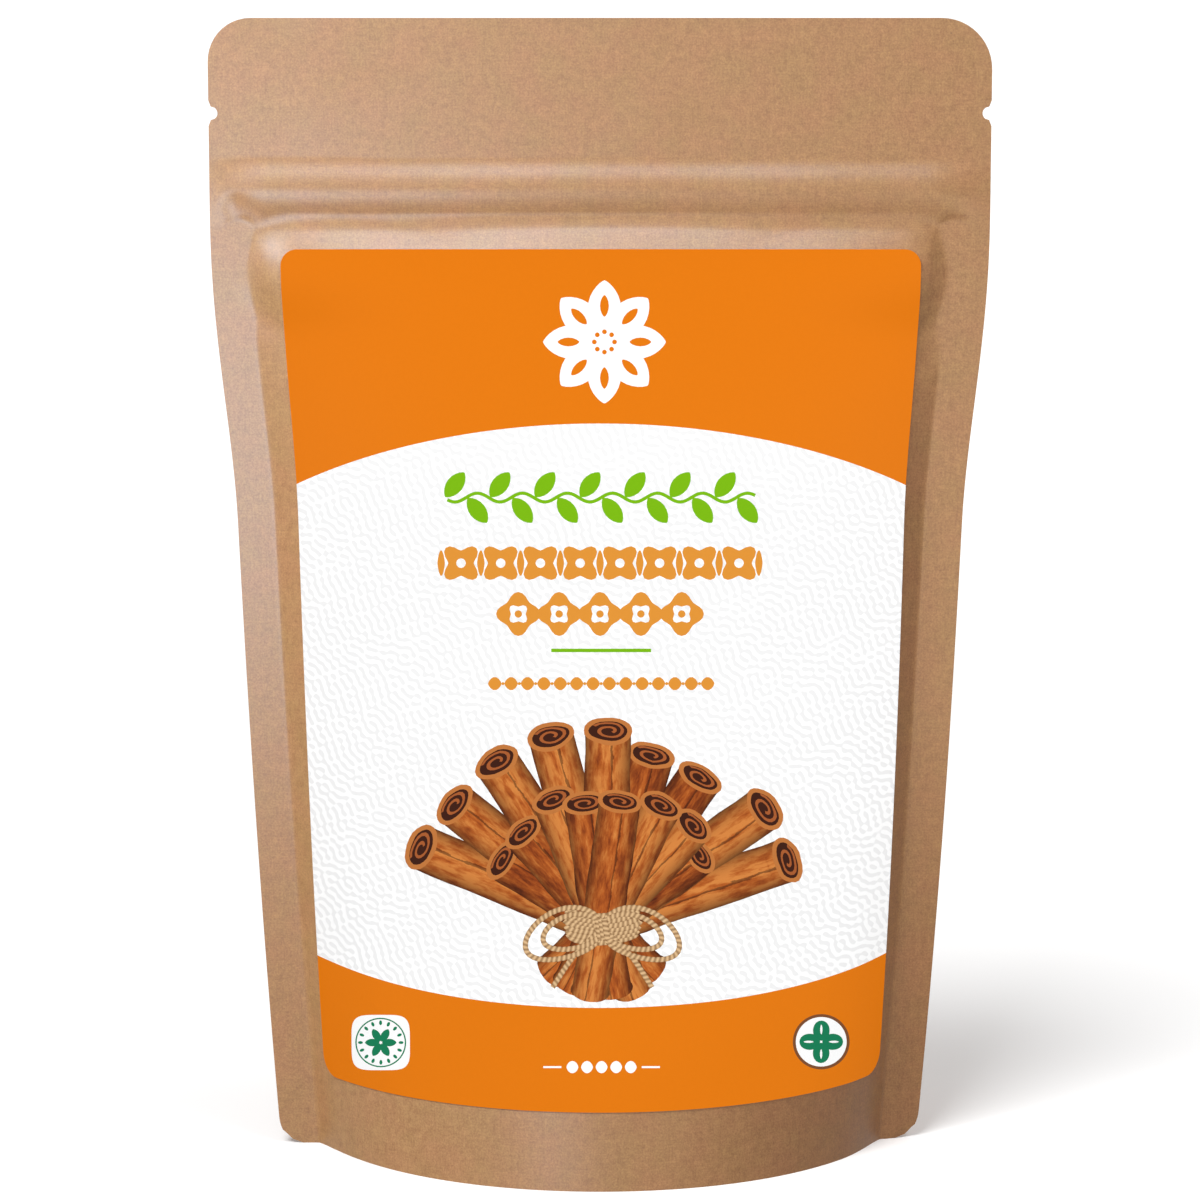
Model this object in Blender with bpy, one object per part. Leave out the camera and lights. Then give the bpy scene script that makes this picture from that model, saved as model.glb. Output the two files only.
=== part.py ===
"""A shut stand-up pouch of brown kraft paper with a large label on its front, filled and standing.

The pouch is a flat bag, sealed down both sides and along the top. The paper folded up inside its base
has opened under the weight of what is in it, so the base is a lens and the front leans back to a thin
neck, where the press-to-close zip shows through the paper. Paper bends but does not stretch, so every
level keeps its flat width: where the pouch is deep, it is narrower from side to side.

Lengths are in metres. +Z is up, the front faces -Y, and the origin is the middle of the base.
A place on the paper is given by s, measured along the paper from its middle, and its height z.
"""

import math

import bmesh
import bpy
from mathutils import Vector

# The bag laid flat
WIDTH = 0.200
HEIGHT = 0.294
SIDE_SEAL = 0.010
SEAL_THICKNESS = 0.0006
TOP_CORNER = 0.013
BOTTOM_CORNER = 0.007

# The bag filled: its half depth, from the middle to the front, and how that falls away going up
BASE_DEPTH = 0.043
DEPTH_LOST_PER_METRE = 0.088
SHOULDER_HEIGHT = 0.165
NECK_HEIGHT = 0.2445
SHOULDER_POWER = 1.15
SECTION_POWER = 1.08

# The zip's two ribs, seen as one soft ridge across the paper
ZIP_HEIGHT = 0.2505
ZIP_RELIEF = 0.0017
ZIP_BELOW = 0.0105
ZIP_ABOVE = 0.0085
ZIP_END = -0.004
ZIP_END_FADE = 0.020

# The tear notches in the two side seals
NOTCH_HEIGHT = 0.270
NOTCH_RADIUS = 0.0017
NOTCH_DEPTH = 0.0023
NOTCH_CUTTER_LENGTH = 0.010
NOTCH_CUTTER_SIDES = 16

# The lower end of the right side seal is bent back
SWEEP = 0.006
SWEEP_FROM = 0.072
SWEEP_HEIGHT = 0.110
SWEEP_POWER = 1.5

# The folded paper under the base, inside the rim that the pouch stands on
RIM = 0.0012
FOLD_END = 0.086
FOLD_LIFT = 0.0038
FOLD_SAG = 0.35
FOLD_POWER = 4

# The label: its flat width at the foot and at the head, and its heights
LABEL_FOOT_WIDTH = 0.1703
LABEL_HEAD_WIDTH = 0.1640
LABEL_FOOT_OFFSET = 0.0009
LABEL_HEAD_OFFSET = 0.0002
LABEL_FOOT = 0.0200
LABEL_HEAD = 0.2354
LABEL_CORNER = 0.006
LABEL_THICKNESS = 0.0003
LABEL_GAP = 0.0003

# The white field lies between two arcs: height at the middle, and how much higher it is at the sides
LOWER_ARC = (0.0463, 0.0054)
UPPER_ARC = (0.1920, -0.0170)
ARC_HALF_WIDTH = 0.0835

# Where the meshes have their corners
INNER_COLUMNS = (0.010, 0.020, 0.030, 0.039, 0.048, 0.056, 0.064, 0.071, 0.077, 0.082)
OUTER_COLUMNS = (0.086, 0.090, 0.095, 0.100)
BODY_ROWS = (0.022, 0.040, 0.058, 0.076, 0.094, 0.112, 0.130, 0.148)
BULGE_ROWS = (0.160, 0.171, 0.182, 0.192, 0.201, 0.209)
SHOULDER_ROWS = (0.216, 0.222, 0.228, 0.233, 0.237, 0.240, 0.2422, 0.244)
ZIP_ROWS = (0.2462, 0.2484, 0.2505, 0.2530, 0.2560, 0.2590, 0.2700)
CORNER_STEPS = 5
FOLD_STATIONS = (-1.0, -0.94, -0.62, -0.22, 0.22, 0.62, 0.94, 1.0)
LABEL_CELLS_ACROSS = 18
WHITE_ROWS = 12
FOOT_SHARES = (0.0, 0.19, 0.6)
HEAD_SHARES = (0.0, 0.2, 0.4, 0.6, 0.75, 0.9, 1.0)
PAPER_STEPS = 40
NUDGE = 0.0002

KRAFT_BROWN = (0.50, 0.34, 0.22, 1.0)
LABEL_ORANGE = (0.81, 0.205, 0.008, 1.0)
LABEL_WHITE = (0.94, 0.94, 0.94, 1.0)
SHARP_ANGLE = 40.0


def clear_scene():
    for thing in list(bpy.data.objects):
        bpy.data.objects.remove(thing, do_unlink=True)


def paint(name, colour, roughness):
    material = bpy.data.materials.new(name)
    material.use_nodes = True
    shader = material.node_tree.nodes["Principled BSDF"]
    shader.inputs["Base Color"].default_value = colour
    shader.inputs["Roughness"].default_value = roughness
    shader.inputs["Metallic"].default_value = 0.0
    material.diffuse_color = colour
    return material


def half_depth(z):
    """How far the middle of the front stands out at this height."""
    above = min(max((z - SHOULDER_HEIGHT) / (NECK_HEIGHT - SHOULDER_HEIGHT), 0.0), 1.0)
    return (BASE_DEPTH - DEPTH_LOST_PER_METRE * z) * (1.0 - above * above) ** SHOULDER_POWER


def bulge(s, z):
    """The lens that a level of the pouch makes, flat across the side seals."""
    share = min(abs(s) / (WIDTH / 2 - SIDE_SEAL), 1.0)
    return half_depth(z) * (1.0 - share * share) ** SECTION_POWER


def zip_ridge(s, z):
    away = (z - ZIP_HEIGHT) / (ZIP_ABOVE if z > ZIP_HEIGHT else ZIP_BELOW)
    inside = min(max((WIDTH / 2 - ZIP_END - abs(s)) / ZIP_END_FADE, 0.0), 1.0)
    if abs(away) >= 1.0:
        return 0.0
    return ZIP_RELIEF * (1.0 - away * away) ** 2 * inside * inside * (3.0 - 2.0 * inside)


def sweep(s, z):
    """How far the foot of the right side seal is bent back."""
    out = max((s - SWEEP_FROM) / (WIDTH / 2 - SWEEP_FROM), 0.0)
    down = max(1.0 - z / SWEEP_HEIGHT, 0.0)
    return SWEEP * out**SWEEP_POWER * down**SWEEP_POWER


def sideways(s, z):
    """Where a place on the paper comes to lie across, when the paper keeps its length over the bulge."""
    lens = WIDTH / 2 - SIDE_SEAL
    step = abs(s) / PAPER_STEPS
    across = 0.0
    for index in range(PAPER_STEPS):
        share = (index + 0.5) * step / lens
        slope = 0.0
        if share < 1.0:
            curve = (1.0 - share * share) ** (SECTION_POWER - 1.0)
            slope = 2.0 * SECTION_POWER * half_depth(z) * share * curve / lens
        across += step * math.sqrt(1.0 - slope * slope)
    return math.copysign(across, s)


def on_paper(s, z, side):
    """A point on the outside of the pouch: side is -1 on the front and 1 on the back."""
    out = SEAL_THICKNESS / 2 + bulge(s, z) + zip_ridge(s, z)
    return Vector((sideways(s, z), side * out + sweep(s, z), z))


def over_front(s, z, lift):
    """A point that stands off the front of the pouch by this much."""
    along = on_paper(s + NUDGE, z, -1) - on_paper(s - NUDGE, z, -1)
    upward = on_paper(s, z + NUDGE, -1) - on_paper(s, z - NUDGE, -1)
    return on_paper(s, z, -1) + along.cross(upward).normalized() * lift


def half_width(z):
    """Half the flat width of the bag at this height, less near its rounded corners."""
    for radius, into in ((TOP_CORNER, z - (HEIGHT - TOP_CORNER)), (BOTTOM_CORNER, BOTTOM_CORNER - z)):
        if into > 0.0:
            return WIDTH / 2 - radius + math.sqrt(max(radius * radius - into * into, 0.0))
    return WIDTH / 2


def columns_at(z):
    """The places of the mesh's corners along one level. Only the outer ones draw in at a rounded corner."""
    fixed = INNER_COLUMNS[-1]
    squeeze = (half_width(z) - fixed) / (WIDTH / 2 - fixed)
    half = list(INNER_COLUMNS) + [fixed + (s - fixed) * squeeze for s in OUTER_COLUMNS]
    return [-s for s in reversed(half)] + [0.0] + half


def pouch_rows():
    turns = [math.pi / 2 * step / CORNER_STEPS for step in range(CORNER_STEPS + 1)]
    foot = [BOTTOM_CORNER * (1.0 - math.cos(math.pi / 2 - turn)) for turn in reversed(turns)]
    head = [HEIGHT - TOP_CORNER * (1.0 - math.sin(turn)) for turn in turns]
    return sorted(foot) + list(BODY_ROWS + BULGE_ROWS + SHOULDER_ROWS + ZIP_ROWS) + head


def cover(bm, grid, outward, material_of_row=None):
    """Close a grid of corners with faces, turned round where the side looks the other way."""
    for row, (low, high) in enumerate(zip(grid, grid[1:])):
        for a, b, c, d in zip(low, low[1:], high[1:], high):
            face = bm.faces.new((a, b, c, d) if outward else (a, d, c, b))
            if material_of_row is not None:
                face.material_index = material_of_row[row]


def close_edges(bm, front, back):
    """The thin cut edges of the paper: both sides and the top."""
    cover(bm, [[near[-1], far[-1]] for near, far in zip(front, back)], True)
    cover(bm, [[near[0], far[0]] for near, far in zip(front, back)], False)
    cover(bm, [front[-1], back[-1]], True)


def fold_path(bm, s, near, far):
    """The corners under one column: the rim, and between its two sides the paper folded up."""
    reach = (far.co.y - near.co.y) / 2 - RIM
    middle = (far.co.y + near.co.y) / 2
    lift = FOLD_LIFT * (1.0 - (s / FOLD_END) ** FOLD_POWER)
    path = [near]
    for station in FOLD_STATIONS:
        height = 0.0 if abs(station) == 1.0 else lift * (1.0 - FOLD_SAG * (1.0 - station * station))
        path.append(bm.verts.new((near.co.x, middle + station * reach, height)))
    return path + [far]


def close_base(bm, front, back):
    """The underside, flat beyond the ends of the fold."""
    paths = []
    for s, near, far in zip(columns_at(0.0), front, back):
        folded = abs(s) < FOLD_END
        paths.append(fold_path(bm, s, near, far) if folded else [near, far])
    for left, right in zip(paths, paths[1:]):
        if len(left) == len(right):
            cover(bm, [left, right], True)
        else:
            bm.faces.new(left + right[::-1])


def finish_mesh(name, bm, materials):
    bmesh.ops.triangulate(bm, faces=bm.faces[:], quad_method="FIXED", ngon_method="BEAUTY")
    mesh = bpy.data.meshes.new(name)
    bm.to_mesh(mesh)
    bm.free()
    for material in materials:
        mesh.materials.append(material)
    mesh.shade_smooth()
    mesh.set_sharp_from_angle(angle=math.radians(SHARP_ANGLE))
    thing = bpy.data.objects.new(name, mesh)
    bpy.context.scene.collection.objects.link(thing)
    return thing


def make_notch_cutter(name, side):
    """A round bar through a side seal, a little way in from its edge."""
    bm = bmesh.new()
    bmesh.ops.create_cone(
        bm, cap_ends=True, segments=NOTCH_CUTTER_SIDES, radius1=NOTCH_RADIUS, radius2=NOTCH_RADIUS,
        depth=NOTCH_CUTTER_LENGTH,
    )
    mesh = bpy.data.meshes.new(name)
    bm.to_mesh(mesh)
    bm.free()
    cutter = bpy.data.objects.new(name, mesh)
    cutter.rotation_euler = (math.pi / 2, 0.0, 0.0)
    cutter.location = (side * (WIDTH / 2 - NOTCH_DEPTH + NOTCH_RADIUS), 0.0, NOTCH_HEIGHT)
    cutter.hide_render = True
    cutter.display_type = "WIRE"
    bpy.context.scene.collection.objects.link(cutter)
    return cutter


def make_pouch():
    bm = bmesh.new()
    rows = pouch_rows()
    front = [[bm.verts.new(on_paper(s, z, -1)) for s in columns_at(z)] for z in rows]
    back = [[bm.verts.new(on_paper(s, z, 1)) for s in columns_at(z)] for z in rows]
    cover(bm, front, True)
    cover(bm, back, False)
    close_edges(bm, front, back)
    close_base(bm, front[0], back[0])
    pouch = finish_mesh("pouch", bm, [paint("kraft_paper", KRAFT_BROWN, 0.85)])
    for name, side in (("left_notch_cutter", -1), ("right_notch_cutter", 1)):
        cut = pouch.modifiers.new(name, "BOOLEAN")
        cut.operation = "DIFFERENCE"
        cut.solver = "EXACT"
        cut.object = make_notch_cutter(name, side)
    return pouch


def arc_height(arc, s):
    middle, rise = arc
    return middle + rise * (s / ARC_HALF_WIDTH) ** 2


def label_place(share_across, band, share_up):
    """A place on the label: band 0 is the lower orange field, 1 the white one and 2 the upper one."""
    s = share_across * LABEL_FOOT_WIDTH / 2
    levels = (LABEL_FOOT, arc_height(LOWER_ARC, s), arc_height(UPPER_ARC, s), LABEL_HEAD)
    z = levels[band] + (levels[band + 1] - levels[band]) * share_up
    height = (z - LABEL_FOOT) / (LABEL_HEAD - LABEL_FOOT)
    width = LABEL_FOOT_WIDTH + (LABEL_HEAD_WIDTH - LABEL_FOOT_WIDTH) * height
    offset = LABEL_FOOT_OFFSET + (LABEL_HEAD_OFFSET - LABEL_FOOT_OFFSET) * height
    return offset + share_across * width / 2, z


def label_rows():
    """Pairs of band and height share, from the foot to the head."""
    rows = [(0, share) for share in FOOT_SHARES]
    rows += [(1, row / WHITE_ROWS) for row in range(WHITE_ROWS)]
    return rows + [(2, share) for share in HEAD_SHARES]


def make_label():
    """One thin sheet over the front, with its thickness added on its outer side."""
    corner_share = LABEL_CORNER / (LABEL_FOOT_WIDTH / 2)
    inner = 1.0 - corner_share
    cells = LABEL_CELLS_ACROSS - 2
    across = [-1.0] + [inner * (2.0 * cell / cells - 1.0) for cell in range(cells + 1)] + [1.0]
    rows = label_rows()
    places = [[label_place(share, band, up) for share in across] for band, up in rows]
    pull = LABEL_CORNER * (1.0 - math.sqrt(0.5))
    for row, upward in ((0, 1), (-1, -1)):
        for column, inward in ((0, 1), (-1, -1)):
            s, z = places[row][column]
            places[row][column] = (s + inward * pull, z + upward * pull)
    bm = bmesh.new()
    grid = [[bm.verts.new(over_front(s, z, LABEL_GAP)) for s, z in row] for row in places]
    cover(bm, grid, True, [1 if band == 1 else 0 for band, _ in rows])
    orange = paint("label_orange", LABEL_ORANGE, 0.5)
    white = paint("label_white", LABEL_WHITE, 0.5)
    label = finish_mesh("label", bm, [orange, white])
    sheet = label.modifiers.new("paper", "SOLIDIFY")
    sheet.thickness = LABEL_THICKNESS
    sheet.offset = 1.0
    sheet.use_rim = True
    return label


clear_scene()
make_pouch()
make_label()
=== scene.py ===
"""The looks of a shut stand-up pouch of brown kraft paper with a large printed label on its front.

Lengths are in metres unless a name says otherwise. +Z is up, the front faces -Y, and the origin is the
middle of the base. A place on the paper is given by s, measured along the paper from its middle, and its
height z. The print is drawn in millimetres, across and up, as it is seen from straight in front.
"""

import math
from functools import partial

import bpy
import numpy as np
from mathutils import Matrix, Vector
from mathutils.geometry import delaunay_2d_cdt


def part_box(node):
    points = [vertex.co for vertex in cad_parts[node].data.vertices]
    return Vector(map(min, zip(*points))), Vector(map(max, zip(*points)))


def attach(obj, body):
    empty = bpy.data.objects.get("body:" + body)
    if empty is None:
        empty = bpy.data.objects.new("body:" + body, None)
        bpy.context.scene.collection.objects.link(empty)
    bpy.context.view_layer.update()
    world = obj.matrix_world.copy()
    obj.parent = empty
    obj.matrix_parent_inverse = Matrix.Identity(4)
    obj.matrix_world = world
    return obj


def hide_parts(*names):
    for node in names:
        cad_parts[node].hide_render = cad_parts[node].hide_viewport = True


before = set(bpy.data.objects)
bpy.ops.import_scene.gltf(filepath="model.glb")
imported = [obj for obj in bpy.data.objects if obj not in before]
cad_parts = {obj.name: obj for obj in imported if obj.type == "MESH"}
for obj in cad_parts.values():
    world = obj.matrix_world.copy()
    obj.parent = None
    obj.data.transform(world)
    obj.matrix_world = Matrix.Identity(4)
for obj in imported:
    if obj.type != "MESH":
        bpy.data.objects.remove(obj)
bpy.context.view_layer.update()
LOWEST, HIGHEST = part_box("pouch")

# The bag laid flat
WIDTH = HIGHEST.x - LOWEST.x
HEIGHT = HIGHEST.z
SIDE_SEAL = 0.010
LENS = WIDTH / 2 - SIDE_SEAL
SEAL_THICKNESS = 0.0006
LEFT_TOP_CORNER = 0.011
RIGHT_TOP_CORNER = 0.013
BOTTOM_CORNER = 0.007

# The bag filled: its half depth, from the middle to the front, and how that falls away going up
BASE_DEPTH = 0.043
DEPTH_LOST_PER_METRE = 0.088
SHOULDER_HEIGHT = 0.165
NECK_HEIGHT = 0.2445
SHOULDER_POWER = 1.15
SECTION_POWER = 1.08

# The zip, seen as one soft ridge across the paper
ZIP_HEIGHT = 0.2505
ZIP_RELIEF = 0.0017
ZIP_BELOW = 0.0105
ZIP_ABOVE = 0.0085
ZIP_END = -0.004
ZIP_END_FADE = 0.020

# The tear notches in the two side seals
NOTCH_HEIGHT = 0.270
NOTCH_RADIUS = 0.0017
NOTCH_DEPTH = 0.0023

# The lower end of the right side seal is bent back
SWEEP = 0.006
SWEEP_FROM = 0.072
SWEEP_HEIGHT = 0.110
SWEEP_POWER = 1.5

# The folded paper under the base, inside the rim that the pouch stands on
RIM = 0.0012
FOLD_END = 0.086
FOLD_LIFT = 0.0038
FOLD_SAG = 0.35
FOLD_STATIONS = 15

# The label: its flat width at the foot and at the head, its heights and its rounded corners
LABEL_FOOT_WIDTH = 0.1703
LABEL_HEAD_WIDTH = 0.1640
LABEL_FOOT_OFFSET = 0.0009
LABEL_HEAD_OFFSET = 0.0002
LABEL_FOOT = 0.0200
LABEL_HEAD = 0.2354
LABEL_FOOT_CORNER = 0.0055
LABEL_HEAD_CORNER = 0.0042
LABEL_UNDER = 0.00008
LABEL_OVER = 0.00030
LABEL_CORNER_STEPS = 8
LABEL_EDGE_STEP = 0.0025

# The white field lies between two arcs: height at the middle, and how much higher it is at the sides
LOWER_ARC = (0.0463, 0.0054)
UPPER_ARC = (0.1920, -0.0170)
ARC_HALF_WIDTH = 0.0835
ARC_REACH = 0.0895
ARC_POINTS = 72

# Mesh spacing of the paper
MIDDLE_CELL = 0.0020
EDGE_CELL = 0.0008
EDGE_CELLS_FROM = 0.078
ROW = 0.0015
ZIP_ROW = 0.0006
ZIP_ROWS_FROM = 0.232
ZIP_ROWS_TO = 0.262
NOTCH_ROW = 0.00030
CORNER_ROWS = 12
PAPER_STEPS = 40

# Folds sharper than this many degrees stay sharp in the shading
SHARP_FOLD = 40.0

# The photograph was taken from a little above the middle, looking slightly down
CAMERA_PLACE = (0.0, -0.800, 0.237)
CAMERA_PITCH = 6.57
CAMERA_LENS = 92.9
SENSOR = 36.0


def linear(hex_colour):
    """A colour written as sRGB hex, as the shaders' linear values."""
    parts = [int(hex_colour[i : i + 2], 16) / 255 for i in (1, 3, 5)]
    return tuple(c / 12.92 if c <= 0.04045 else ((c + 0.055) / 1.055) ** 2.4 for c in parts) + (1.0,)


def give(node, inputs):
    """Gives a node's inputs a value each, or a link to a socket or to another node's first output in use."""
    for key, value in inputs.items():
        if isinstance(value, bpy.types.Node):
            value = next(output for output in value.outputs if output.enabled)
        if isinstance(value, bpy.types.NodeSocket):
            node.id_data.links.new(value, node.inputs[key])
        else:
            node.inputs[key].default_value = value


def add_node(tree, kind, inputs=None, **settings):
    """One node with its settings and its inputs."""
    node = tree.nodes.new(kind)
    for name, value in settings.items():
        setattr(node, name, value)
    give(node, inputs or {})
    return node


def make_camera():
    """The camera that took the photograph, as near as it can be found."""
    data = bpy.data.cameras.new("camera")
    data.sensor_width = SENSOR
    data.lens = CAMERA_LENS
    camera = bpy.data.objects.new("camera", data)
    camera.location = CAMERA_PLACE
    camera.rotation_euler = (math.radians(90.0 - CAMERA_PITCH), 0.0, 0.0)
    bpy.context.scene.collection.objects.link(camera)
    bpy.context.scene.camera = camera


make_camera()


# The form of the filled pouch

def soft_step(t):
    """Nothing up to zero, one from one on, and a smooth rise between."""
    t = np.clip(t, 0.0, 1.0)
    return t * t * (3.0 - 2.0 * t)


def hump(t):
    """One at the middle, falling smoothly to nothing at one to either side."""
    return np.clip(1.0 - t * t, 0.0, None) ** 2


def half_depth(z):
    """How far the middle of the front stands from the middle of the pouch at this height."""
    above = np.clip((z - SHOULDER_HEIGHT) / (NECK_HEIGHT - SHOULDER_HEIGHT), 0.0, 1.0)
    return (BASE_DEPTH - DEPTH_LOST_PER_METRE * z) * (1.0 - above * above) ** SHOULDER_POWER


def bulge(s, z):
    """How far the filling pushes the paper out, nothing at the side seals."""
    share = np.minimum(np.abs(s) / LENS, 1.0)
    return half_depth(z) * (1.0 - share * share) ** SECTION_POWER


def zip_ridge(s, z):
    """How far the zip pushes the paper out."""
    away = np.clip((z - ZIP_HEIGHT) / np.where(z > ZIP_HEIGHT, ZIP_ABOVE, ZIP_BELOW), -1.0, 1.0)
    inside = soft_step((WIDTH / 2 - ZIP_END - np.abs(s)) / ZIP_END_FADE)
    return ZIP_RELIEF * hump(away) * inside


def sweep(s, z):
    """How far the lower end of the right side seal lies back."""
    out = np.clip((s - SWEEP_FROM) / (WIDTH / 2 - SWEEP_FROM), 0.0, None)
    down = np.clip(1.0 - z / SWEEP_HEIGHT, 0.0, None)
    return SWEEP * out**SWEEP_POWER * down**SWEEP_POWER


def sideways(s, z):
    """Where a place on the paper comes to lie across, when the paper keeps its length over the bulge."""
    step = np.abs(s) / PAPER_STEPS
    depth = half_depth(z)
    across = np.zeros(np.broadcast(s, z).shape)
    for index in range(PAPER_STEPS):
        share = np.minimum((index + 0.5) * step / LENS, 1.0)
        slope = 2.0 * SECTION_POWER * depth * share * (1.0 - share * share) ** (SECTION_POWER - 1.0) / LENS
        across += step * np.sqrt(1.0 - slope * slope)
    return np.copysign(across, s)


# What handling and filling do to the paper: long soft waves, and creases at the shoulders
WAVES = 7
WAVE_SEED = 4
FRONT_WAVE = 0.00012
BACK_WAVE = 0.00050
WAVE_LENGTHS = (0.028, 0.075)
WAVE_SIDE_FADE = 0.020
WAVE_FOOT_FADE = 0.030


def waviness(s, z, side):
    """Soft waves in the paper, flatter under the label, gone at the seals and at the foot."""
    draw = np.random.default_rng(WAVE_SEED + (side > 0))
    height = 0.0
    for _ in range(WAVES):
        length = draw.uniform(*WAVE_LENGTHS)
        way = draw.uniform(0.0, math.pi)
        phase = draw.uniform(0.0, 2.0 * math.pi)
        height = height + np.sin((s * math.cos(way) + z * math.sin(way)) * 2.0 * math.pi / length + phase)
    inside = soft_step((LENS - np.abs(s)) / WAVE_SIDE_FADE) * soft_step(z / WAVE_FOOT_FADE)
    return (BACK_WAVE if side > 0 else FRONT_WAVE) * height / math.sqrt(WAVES) * inside


# Creases at the shoulders of the front and back: side, start, end (s and z), depth and half width
CREASES = (
    (-1, (0.0925, 0.2400), (0.0865, 0.2170), 0.0005, 0.0050),
    (-1, (0.0935, 0.2465), (0.0900, 0.2455), 0.0004, 0.0045),
    (1, (0.0905, 0.2390), (0.0850, 0.2080), 0.0009, 0.0060),
)

# The share of its depth that a crease loses on the way to its end
CREASE_FADE = 0.6

# The contents fill out the upper corners: how far, where (s and z), how wide, and how drawn out
PLUMP = 0.0023
PLUMP_AT = (0.0785, 0.2290)
PLUMP_RADIUS = 0.0165
PLUMP_STRETCH = 2.8


def creases(s, z):
    """How far the creases push the paper in, as a negative length."""
    depth = 0.0
    for half, start, end, deep, wide in CREASES:
        ax, az = half * start[0], start[1]
        bx, bz = half * end[0], end[1]
        length = (bx - ax) ** 2 + (bz - az) ** 2
        share = np.clip(((s - ax) * (bx - ax) + (z - az) * (bz - az)) / length, 0.0, 1.0)
        away = np.hypot(s - ax - share * (bx - ax), z - az - share * (bz - az))
        depth = depth - deep * hump(np.clip(away / wide, 0.0, 1.0)) * (1.0 - CREASE_FADE * share)
    return depth


def plump_corners(s, z):
    """Steep on their outer side, and drawn out towards the middle."""
    outward = np.abs(s) - PLUMP_AT[0]
    across = np.where(outward > 0.0, outward, outward / PLUMP_STRETCH)
    away = np.hypot(across, z - PLUMP_AT[1]) / PLUMP_RADIUS
    return PLUMP * hump(np.clip(away, 0.0, 1.0))


def on_paper(s, z, side):
    """A point on the outside of the pouch: side is -1 on the front and 1 on the back."""
    out = SEAL_THICKNESS / 2 + bulge(s, z) + zip_ridge(s, z)
    out = out + waviness(s, z, side) + creases(s, z) + plump_corners(s, z)
    out = np.maximum(out, SEAL_THICKNESS / 2)
    return np.stack([sideways(s, z), side * out + sweep(s, z), z + 0.0 * s], axis=-1)


# How far apart the places are that give the slope of the paper
NUDGE = 0.0002


def over_front(s, z, lift):
    """A point that stands off the front of the pouch by this much."""
    along = on_paper(s + NUDGE, z, -1) - on_paper(s - NUDGE, z, -1)
    upward = on_paper(s, z + NUDGE, -1) - on_paper(s, z - NUDGE, -1)
    outward = np.cross(along, upward)
    return on_paper(s, z, -1) + outward / np.linalg.norm(outward, axis=-1, keepdims=True) * lift


# The upright plane on which the label is drawn, as the camera sees it there, and the tries that find the
# place on the paper behind a point of the drawing
DRAWING_PLANE = -0.030
SEARCH_TRIES = 14


def as_seen(s, z):
    """Where a place on the front shows on the drawing plane."""
    place = on_paper(s, z, -1)
    grow = (DRAWING_PLANE - CAMERA_PLACE[1]) / (place[..., 1] - CAMERA_PLACE[1])
    return place[..., 0] * grow, CAMERA_PLACE[2] + (place[..., 2] - CAMERA_PLACE[2]) * grow


def on_label(x, z):
    """The place along the paper and up that shows at x, z on the drawing plane, the reverse of as_seen."""
    s, up = x.copy(), z.copy()
    for _ in range(SEARCH_TRIES):
        shown_x, shown_z = as_seen(s, up)
        s += x - shown_x
        up += z - shown_z
    return s, up


def half_width(z, half):
    """Half the flat width of the bag at this height, less at its rounded corners and at a notch."""
    top_corner = RIGHT_TOP_CORNER if half > 0 else LEFT_TOP_CORNER
    width = WIDTH / 2
    for radius, into in ((top_corner, z - (HEIGHT - top_corner)), (BOTTOM_CORNER, BOTTOM_CORNER - z)):
        if into > 0.0:
            width = WIDTH / 2 - radius + math.sqrt(max(radius * radius - into * into, 0.0))
    from_notch = abs(z - NOTCH_HEIGHT)
    if from_notch < NOTCH_RADIUS:
        width -= NOTCH_DEPTH - NOTCH_RADIUS + math.sqrt(NOTCH_RADIUS**2 - from_notch**2)
    return width


def paper_rows():
    """The heights of the mesh's levels, closer at the zip, the notches and the rounded corners."""
    turns = [math.pi / 2 * step / CORNER_ROWS for step in range(CORNER_ROWS + 1)]
    rows = [BOTTOM_CORNER * (1.0 - math.cos(turn)) for turn in turns]
    rows += [HEIGHT - RIGHT_TOP_CORNER * (1.0 - math.sin(turn)) for turn in turns]
    stretches = (
        (BOTTOM_CORNER, ZIP_ROWS_FROM, ROW),
        (ZIP_ROWS_FROM, ZIP_ROWS_TO, ZIP_ROW),
        (ZIP_ROWS_TO, NOTCH_HEIGHT - NOTCH_RADIUS, ROW),
        (NOTCH_HEIGHT - NOTCH_RADIUS, NOTCH_HEIGHT + NOTCH_RADIUS, NOTCH_ROW),
        (NOTCH_HEIGHT + NOTCH_RADIUS, HEIGHT - RIGHT_TOP_CORNER, ROW),
    )
    for low, high, step in stretches:
        rows += list(np.linspace(low, high, round((high - low) / step) + 1))
    rows = sorted(rows)
    return [rows[0]] + [high for low, high in zip(rows, rows[1:]) if high - low > 1e-6]


def paper_columns():
    """The places of the mesh's corners on one half of a level, from the middle out."""
    middle = np.linspace(0.0, EDGE_CELLS_FROM, round(EDGE_CELLS_FROM / MIDDLE_CELL) + 1)
    edge = np.linspace(EDGE_CELLS_FROM, WIDTH / 2, round((WIDTH / 2 - EDGE_CELLS_FROM) / EDGE_CELL) + 1)
    return np.concatenate([middle, edge[1:]])


def grid_faces(corners, outward):
    """Quads over a grid of corner numbers, turned round where the side looks the other way."""
    low, high = corners[:-1], corners[1:]
    ring = (low[:, :-1], low[:, 1:], high[:, 1:], high[:, :-1])
    return np.stack(ring if outward else ring[::-1], axis=-1).reshape(-1, 4)


def make_mesh(name, corners, faces, materials):
    """An object from the corners and faces of its mesh, with its materials."""
    mesh = bpy.data.meshes.new(name)
    mesh.from_pydata([tuple(c) for c in corners], [], [tuple(int(i) for i in f) for f in faces])
    for material in materials:
        mesh.materials.append(material)
    mesh.validate()
    mesh.update()
    thing = bpy.data.objects.new(name, mesh)
    bpy.context.scene.collection.objects.link(thing)
    return thing


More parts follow.
